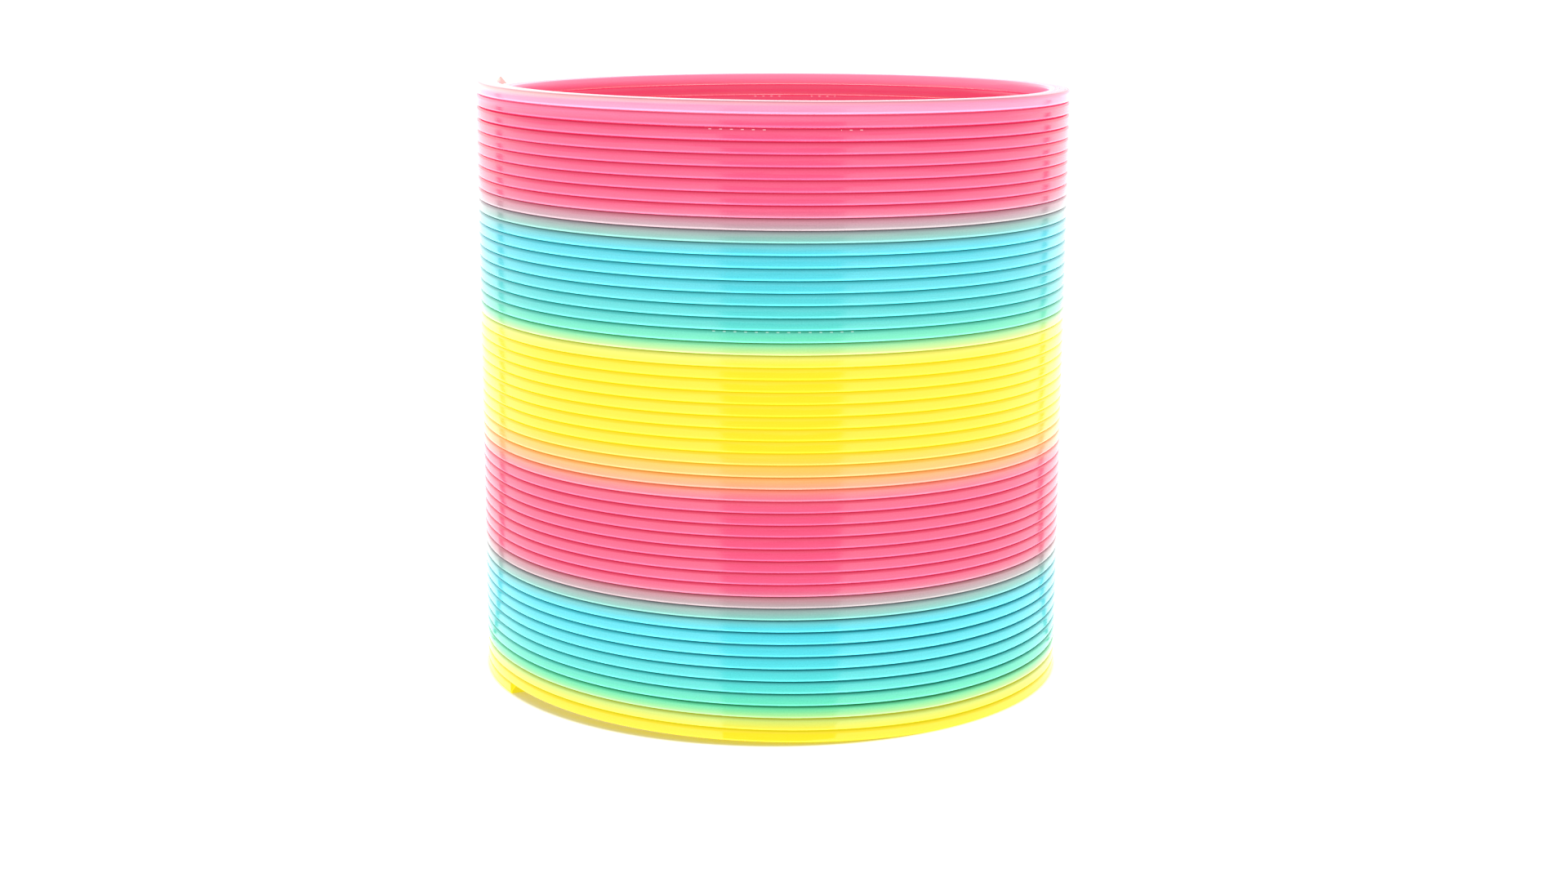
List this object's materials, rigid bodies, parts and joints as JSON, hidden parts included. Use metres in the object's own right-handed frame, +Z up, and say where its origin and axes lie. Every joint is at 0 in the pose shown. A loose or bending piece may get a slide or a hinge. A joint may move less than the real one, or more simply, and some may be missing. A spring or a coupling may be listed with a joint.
{
  "type": "spring coil toy",
  "caption": "Upright closed coil of a flat plastic strip, a desk toy that stretches along its axis and arches over to one side.",
  "frame": {"origin": "centre of the coil's circle on the surface that it stands on", "axes": "+Z up along the coil's axis; -Y towards the front, where the strip's bottom end lies front left; +X to the right, the side that the coil arches over to"},
  "size_m": [0.076, 0.076, 0.0768],
  "materials": {
    "blue_plastic": "injection-grade strip plastic dyed in a fading rainbow, glossy and slightly translucent",
    "green_plastic": "injection-grade strip plastic dyed in a fading rainbow, glossy and slightly translucent",
    "lilac_plastic": "injection-grade strip plastic dyed in a fading rainbow, glossy and slightly translucent",
    "pale_pink_plastic": "injection-grade strip plastic dyed in a fading rainbow, glossy and slightly translucent",
    "peach_plastic": "injection-grade strip plastic dyed in a fading rainbow, glossy and slightly translucent",
    "pink_plastic": "injection-grade strip plastic dyed in a fading rainbow, glossy and slightly translucent",
    "yellow_plastic": "injection-grade strip plastic dyed in a fading rainbow, glossy and slightly translucent"
  },
  "bodies": {
    "bottom_turn": {"bottom_turn": "yellow_plastic"},
    "turn_02": {"turn_02": "green_plastic"},
    "turn_03": {"turn_03": "green_plastic"},
    "turn_04": {"turn_04": "blue_plastic"},
    "turn_05": {"turn_05": "blue_plastic"},
    "turn_06": {"turn_06": "blue_plastic"},
    "turn_07": {"turn_07": "blue_plastic"},
    "turn_08": {"turn_08": "blue_plastic"},
    "turn_09": {"turn_09": "blue_plastic"},
    "turn_10": {"turn_10": "lilac_plastic"},
    "turn_11": {"turn_11": "lilac_plastic"},
    "turn_12": {"turn_12": "lilac_plastic"},
    "turn_13": {"turn_13": "pink_plastic"},
    "turn_14": {"turn_14": "pink_plastic"},
    "turn_15": {"turn_15": "pink_plastic"},
    "turn_16": {"turn_16": "pink_plastic"},
    "turn_17": {"turn_17": "pink_plastic"},
    "turn_18": {"turn_18": "pink_plastic"},
    "turn_19": {"turn_19": "pink_plastic"},
    "turn_20": {"turn_20": "pink_plastic"},
    "turn_21": {"turn_21": "peach_plastic"},
    "turn_22": {"turn_22": "peach_plastic"},
    "turn_23": {"turn_23": "peach_plastic"},
    "turn_24": {"turn_24": "peach_plastic"},
    "turn_25": {"turn_25": "yellow_plastic"},
    "turn_26": {"turn_26": "yellow_plastic"},
    "turn_27": {"turn_27": "yellow_plastic"},
    "turn_28": {"turn_28": "yellow_plastic"},
    "turn_29": {"turn_29": "yellow_plastic"},
    "turn_30": {"turn_30": "yellow_plastic"},
    "turn_31": {"turn_31": "green_plastic"},
    "turn_32": {"turn_32": "green_plastic"},
    "turn_33": {"turn_33": "green_plastic"},
    "turn_34": {"turn_34": "blue_plastic"},
    "turn_35": {"turn_35": "blue_plastic"},
    "turn_36": {"turn_36": "blue_plastic"},
    "turn_37": {"turn_37": "blue_plastic"},
    "turn_38": {"turn_38": "blue_plastic"},
    "turn_39": {"turn_39": "blue_plastic"},
    "turn_40": {"turn_40": "blue_plastic"},
    "turn_41": {"turn_41": "lilac_plastic"},
    "turn_42": {"turn_42": "lilac_plastic"},
    "turn_43": {"turn_43": "lilac_plastic"},
    "turn_44": {"turn_44": "lilac_plastic"},
    "turn_45": {"turn_45": "pink_plastic"},
    "turn_46": {"turn_46": "pink_plastic"},
    "turn_47": {"turn_47": "pink_plastic"},
    "turn_48": {"turn_48": "pink_plastic"},
    "turn_49": {"turn_49": "pink_plastic"},
    "turn_50": {"turn_50": "pink_plastic"},
    "top_turn": {"top_turn": "pale_pink_plastic"}
  },
  "joints": [
    {"name": "stretch", "type": "slide", "parent": "bottom_turn", "child": "turn_02", "axis": [0, 0, 1], "range_m": [0, 0.016], "stiffness_N_per_m": 2},
    {"name": "arch", "type": "hinge", "parent": "turn_02", "child": "turn_03", "pos_m": [0.038, 0, 0.00303], "axis": [0, 1, 0], "range_deg": [0, 7.2], "stiffness_Nm_per_rad": 0.0025},
    {"name": "stretch_02", "type": "slide", "parent": "turn_03", "child": "turn_04", "axis": [0, 0, 1], "range_m": [0, 0.016], "stiffness_N_per_m": 2},
    {"name": "arch_02", "type": "hinge", "parent": "turn_04", "child": "turn_05", "pos_m": [0.038, 0, 0.00609], "axis": [0, 1, 0], "range_deg": [0, 7.2], "stiffness_Nm_per_rad": 0.0025},
    {"name": "stretch_03", "type": "slide", "parent": "turn_05", "child": "turn_06", "axis": [0, 0, 1], "range_m": [0, 0.016], "stiffness_N_per_m": 2},
    {"name": "arch_03", "type": "hinge", "parent": "turn_06", "child": "turn_07", "pos_m": [0.038, 0, 0.00915], "axis": [0, 1, 0], "range_deg": [0, 7.2], "stiffness_Nm_per_rad": 0.0025},
    {"name": "stretch_04", "type": "slide", "parent": "turn_07", "child": "turn_08", "axis": [0, 0, 1], "range_m": [0, 0.016], "stiffness_N_per_m": 2},
    {"name": "arch_04", "type": "hinge", "parent": "turn_08", "child": "turn_09", "pos_m": [0.038, 0, 0.01222], "axis": [0, 1, 0], "range_deg": [0, 7.2], "stiffness_Nm_per_rad": 0.0025},
    {"name": "stretch_05", "type": "slide", "parent": "turn_09", "child": "turn_10", "axis": [0, 0, 1], "range_m": [0, 0.016], "stiffness_N_per_m": 2},
    {"name": "arch_05", "type": "hinge", "parent": "turn_10", "child": "turn_11", "pos_m": [0.038, 0, 0.01527], "axis": [0, 1, 0], "range_deg": [0, 7.2], "stiffness_Nm_per_rad": 0.0025},
    {"name": "stretch_06", "type": "slide", "parent": "turn_11", "child": "turn_12", "axis": [0, 0, 1], "range_m": [0, 0.016], "stiffness_N_per_m": 2},
    {"name": "arch_06", "type": "hinge", "parent": "turn_12", "child": "turn_13", "pos_m": [0.038, 0, 0.01815], "axis": [0, 1, 0], "range_deg": [0, 7.2], "stiffness_Nm_per_rad": 0.0025},
    {"name": "stretch_07", "type": "slide", "parent": "turn_13", "child": "turn_14", "axis": [0, 0, 1], "range_m": [0, 0.016], "stiffness_N_per_m": 2},
    {"name": "arch_07", "type": "hinge", "parent": "turn_14", "child": "turn_15", "pos_m": [0.038, 0, 0.02104], "axis": [0, 1, 0], "range_deg": [0, 7.2], "stiffness_Nm_per_rad": 0.0025},
    {"name": "stretch_08", "type": "slide", "parent": "turn_15", "child": "turn_16", "axis": [0, 0, 1], "range_m": [0, 0.016], "stiffness_N_per_m": 2},
    {"name": "arch_08", "type": "hinge", "parent": "turn_16", "child": "turn_17", "pos_m": [0.038, 0, 0.02393], "axis": [0, 1, 0], "range_deg": [0, 7.2], "stiffness_Nm_per_rad": 0.0025},
    {"name": "stretch_09", "type": "slide", "parent": "turn_17", "child": "turn_18", "axis": [0, 0, 1], "range_m": [0, 0.016], "stiffness_N_per_m": 2},
    {"name": "arch_09", "type": "hinge", "parent": "turn_18", "child": "turn_19", "pos_m": [0.038, 0, 0.02681], "axis": [0, 1, 0], "range_deg": [0, 7.2], "stiffness_Nm_per_rad": 0.0025},
    {"name": "stretch_10", "type": "slide", "parent": "turn_19", "child": "turn_20", "axis": [0, 0, 1], "range_m": [0, 0.016], "stiffness_N_per_m": 2},
    {"name": "arch_10", "type": "hinge", "parent": "turn_20", "child": "turn_21", "pos_m": [0.038, 0, 0.0297], "axis": [0, 1, 0], "range_deg": [0, 7.2], "stiffness_Nm_per_rad": 0.0025},
    {"name": "stretch_11", "type": "slide", "parent": "turn_21", "child": "turn_22", "axis": [0, 0, 1], "range_m": [0, 0.016], "stiffness_N_per_m": 2},
    {"name": "arch_11", "type": "hinge", "parent": "turn_22", "child": "turn_23", "pos_m": [0.038, 0, 0.03258], "axis": [0, 1, 0], "range_deg": [0, 7.2], "stiffness_Nm_per_rad": 0.0025},
    {"name": "stretch_12", "type": "slide", "parent": "turn_23", "child": "turn_24", "axis": [0, 0, 1], "range_m": [0, 0.016], "stiffness_N_per_m": 2},
    {"name": "arch_12", "type": "hinge", "parent": "turn_24", "child": "turn_25", "pos_m": [0.038, 0, 0.03547], "axis": [0, 1, 0], "range_deg": [0, 7.2], "stiffness_Nm_per_rad": 0.0025},
    {"name": "stretch_13", "type": "slide", "parent": "turn_25", "child": "turn_26", "axis": [0, 0, 1], "range_m": [0, 0.016], "stiffness_N_per_m": 2},
    {"name": "arch_13", "type": "hinge", "parent": "turn_26", "child": "turn_27", "pos_m": [0.038, 0, 0.03836], "axis": [0, 1, 0], "range_deg": [0, 7.2], "stiffness_Nm_per_rad": 0.0025},
    {"name": "stretch_14", "type": "slide", "parent": "turn_27", "child": "turn_28", "axis": [0, 0, 1], "range_m": [0, 0.016], "stiffness_N_per_m": 2},
    {"name": "arch_14", "type": "hinge", "parent": "turn_28", "child": "turn_29", "pos_m": [0.038, 0, 0.04124], "axis": [0, 1, 0], "range_deg": [0, 7.2], "stiffness_Nm_per_rad": 0.0025},
    {"name": "stretch_15", "type": "slide", "parent": "turn_29", "child": "turn_30", "axis": [0, 0, 1], "range_m": [0, 0.016], "stiffness_N_per_m": 2},
    {"name": "arch_15", "type": "hinge", "parent": "turn_30", "child": "turn_31", "pos_m": [0.038, 0, 0.04413], "axis": [0, 1, 0], "range_deg": [0, 7.2], "stiffness_Nm_per_rad": 0.0025},
    {"name": "stretch_16", "type": "slide", "parent": "turn_31", "child": "turn_32", "axis": [0, 0, 1], "range_m": [0, 0.016], "stiffness_N_per_m": 2},
    {"name": "arch_16", "type": "hinge", "parent": "turn_32", "child": "turn_33", "pos_m": [0.038, 0, 0.04701], "axis": [0, 1, 0], "range_deg": [0, 7.2], "stiffness_Nm_per_rad": 0.0025},
    {"name": "stretch_17", "type": "slide", "parent": "turn_33", "child": "turn_34", "axis": [0, 0, 1], "range_m": [0, 0.016], "stiffness_N_per_m": 2},
    {"name": "arch_17", "type": "hinge", "parent": "turn_34", "child": "turn_35", "pos_m": [0.038, 0, 0.0499], "axis": [0, 1, 0], "range_deg": [0, 7.2], "stiffness_Nm_per_rad": 0.0025},
    {"name": "stretch_18", "type": "slide", "parent": "turn_35", "child": "turn_36", "axis": [0, 0, 1], "range_m": [0, 0.016], "stiffness_N_per_m": 2},
    {"name": "arch_18", "type": "hinge", "parent": "turn_36", "child": "turn_37", "pos_m": [0.038, 0, 0.05279], "axis": [0, 1, 0], "range_deg": [0, 7.2], "stiffness_Nm_per_rad": 0.0025},
    {"name": "stretch_19", "type": "slide", "parent": "turn_37", "child": "turn_38", "axis": [0, 0, 1], "range_m": [0, 0.016], "stiffness_N_per_m": 2},
    {"name": "arch_19", "type": "hinge", "parent": "turn_38", "child": "turn_39", "pos_m": [0.038, 0, 0.05567], "axis": [0, 1, 0], "range_deg": [0, 7.2], "stiffness_Nm_per_rad": 0.0025},
    {"name": "stretch_20", "type": "slide", "parent": "turn_39", "child": "turn_40", "axis": [0, 0, 1], "range_m": [0, 0.016], "stiffness_N_per_m": 2},
    {"name": "arch_20", "type": "hinge", "parent": "turn_40", "child": "turn_41", "pos_m": [0.038, 0, 0.05856], "axis": [0, 1, 0], "range_deg": [0, 7.2], "stiffness_Nm_per_rad": 0.0025},
    {"name": "stretch_21", "type": "slide", "parent": "turn_41", "child": "turn_42", "axis": [0, 0, 1], "range_m": [0, 0.016], "stiffness_N_per_m": 2},
    {"name": "arch_21", "type": "hinge", "parent": "turn_42", "child": "turn_43", "pos_m": [0.038, 0, 0.06144], "axis": [0, 1, 0], "range_deg": [0, 7.2], "stiffness_Nm_per_rad": 0.0025},
    {"name": "stretch_22", "type": "slide", "parent": "turn_43", "child": "turn_44", "axis": [0, 0, 1], "range_m": [0, 0.016], "stiffness_N_per_m": 2},
    {"name": "arch_22", "type": "hinge", "parent": "turn_44", "child": "turn_45", "pos_m": [0.038, 0, 0.06433], "axis": [0, 1, 0], "range_deg": [0, 7.2], "stiffness_Nm_per_rad": 0.0025},
    {"name": "stretch_23", "type": "slide", "parent": "turn_45", "child": "turn_46", "axis": [0, 0, 1], "range_m": [0, 0.016], "stiffness_N_per_m": 2},
    {"name": "arch_23", "type": "hinge", "parent": "turn_46", "child": "turn_47", "pos_m": [0.038, 0, 0.06722], "axis": [0, 1, 0], "range_deg": [0, 7.2], "stiffness_Nm_per_rad": 0.0025},
    {"name": "stretch_24", "type": "slide", "parent": "turn_47", "child": "turn_48", "axis": [0, 0, 1], "range_m": [0, 0.016], "stiffness_N_per_m": 2},
    {"name": "arch_24", "type": "hinge", "parent": "turn_48", "child": "turn_49", "pos_m": [0.038, 0, 0.0701], "axis": [0, 1, 0], "range_deg": [0, 7.2], "stiffness_Nm_per_rad": 0.0025},
    {"name": "stretch_25", "type": "slide", "parent": "turn_49", "child": "turn_50", "axis": [0, 0, 1], "range_m": [0, 0.016], "stiffness_N_per_m": 2},
    {"name": "arch_25", "type": "hinge", "parent": "turn_50", "child": "top_turn", "pos_m": [0.038, 0, 0.07311], "axis": [0, 1, 0], "range_deg": [0, 7.2], "stiffness_Nm_per_rad": 0.0025}
  ],
  "couplings": [
    {"joint": "stretch_02", "follows": "stretch", "ratio": 1},
    {"joint": "arch_02", "follows": "arch", "ratio": 1},
    {"joint": "stretch_03", "follows": "stretch", "ratio": 1},
    {"joint": "arch_03", "follows": "arch", "ratio": 1},
    {"joint": "stretch_04", "follows": "stretch", "ratio": 1},
    {"joint": "arch_04", "follows": "arch", "ratio": 1},
    {"joint": "stretch_05", "follows": "stretch", "ratio": 1},
    {"joint": "arch_05", "follows": "arch", "ratio": 1},
    {"joint": "stretch_06", "follows": "stretch", "ratio": 1},
    {"joint": "arch_06", "follows": "arch", "ratio": 1},
    {"joint": "stretch_07", "follows": "stretch", "ratio": 1},
    {"joint": "arch_07", "follows": "arch", "ratio": 1},
    {"joint": "stretch_08", "follows": "stretch", "ratio": 1},
    {"joint": "arch_08", "follows": "arch", "ratio": 1},
    {"joint": "stretch_09", "follows": "stretch", "ratio": 1},
    {"joint": "arch_09", "follows": "arch", "ratio": 1},
    {"joint": "stretch_10", "follows": "stretch", "ratio": 1},
    {"joint": "arch_10", "follows": "arch", "ratio": 1},
    {"joint": "stretch_11", "follows": "stretch", "ratio": 1},
    {"joint": "arch_11", "follows": "arch", "ratio": 1},
    {"joint": "stretch_12", "follows": "stretch", "ratio": 1},
    {"joint": "arch_12", "follows": "arch", "ratio": 1},
    {"joint": "stretch_13", "follows": "stretch", "ratio": 1},
    {"joint": "arch_13", "follows": "arch", "ratio": 1},
    {"joint": "stretch_14", "follows": "stretch", "ratio": 1},
    {"joint": "arch_14", "follows": "arch", "ratio": 1},
    {"joint": "stretch_15", "follows": "stretch", "ratio": 1},
    {"joint": "arch_15", "follows": "arch", "ratio": 1},
    {"joint": "stretch_16", "follows": "stretch", "ratio": 1},
    {"joint": "arch_16", "follows": "arch", "ratio": 1},
    {"joint": "stretch_17", "follows": "stretch", "ratio": 1},
    {"joint": "arch_17", "follows": "arch", "ratio": 1},
    {"joint": "stretch_18", "follows": "stretch", "ratio": 1},
    {"joint": "arch_18", "follows": "arch", "ratio": 1},
    {"joint": "stretch_19", "follows": "stretch", "ratio": 1},
    {"joint": "arch_19", "follows": "arch", "ratio": 1},
    {"joint": "stretch_20", "follows": "stretch", "ratio": 1},
    {"joint": "arch_20", "follows": "arch", "ratio": 1},
    {"joint": "stretch_21", "follows": "stretch", "ratio": 1},
    {"joint": "arch_21", "follows": "arch", "ratio": 1},
    {"joint": "stretch_22", "follows": "stretch", "ratio": 1},
    {"joint": "arch_22", "follows": "arch", "ratio": 1},
    {"joint": "stretch_23", "follows": "stretch", "ratio": 1},
    {"joint": "arch_23", "follows": "arch", "ratio": 1},
    {"joint": "stretch_24", "follows": "stretch", "ratio": 1},
    {"joint": "arch_24", "follows": "arch", "ratio": 1},
    {"joint": "stretch_25", "follows": "stretch", "ratio": 1},
    {"joint": "arch_25", "follows": "arch", "ratio": 1}
  ]
}
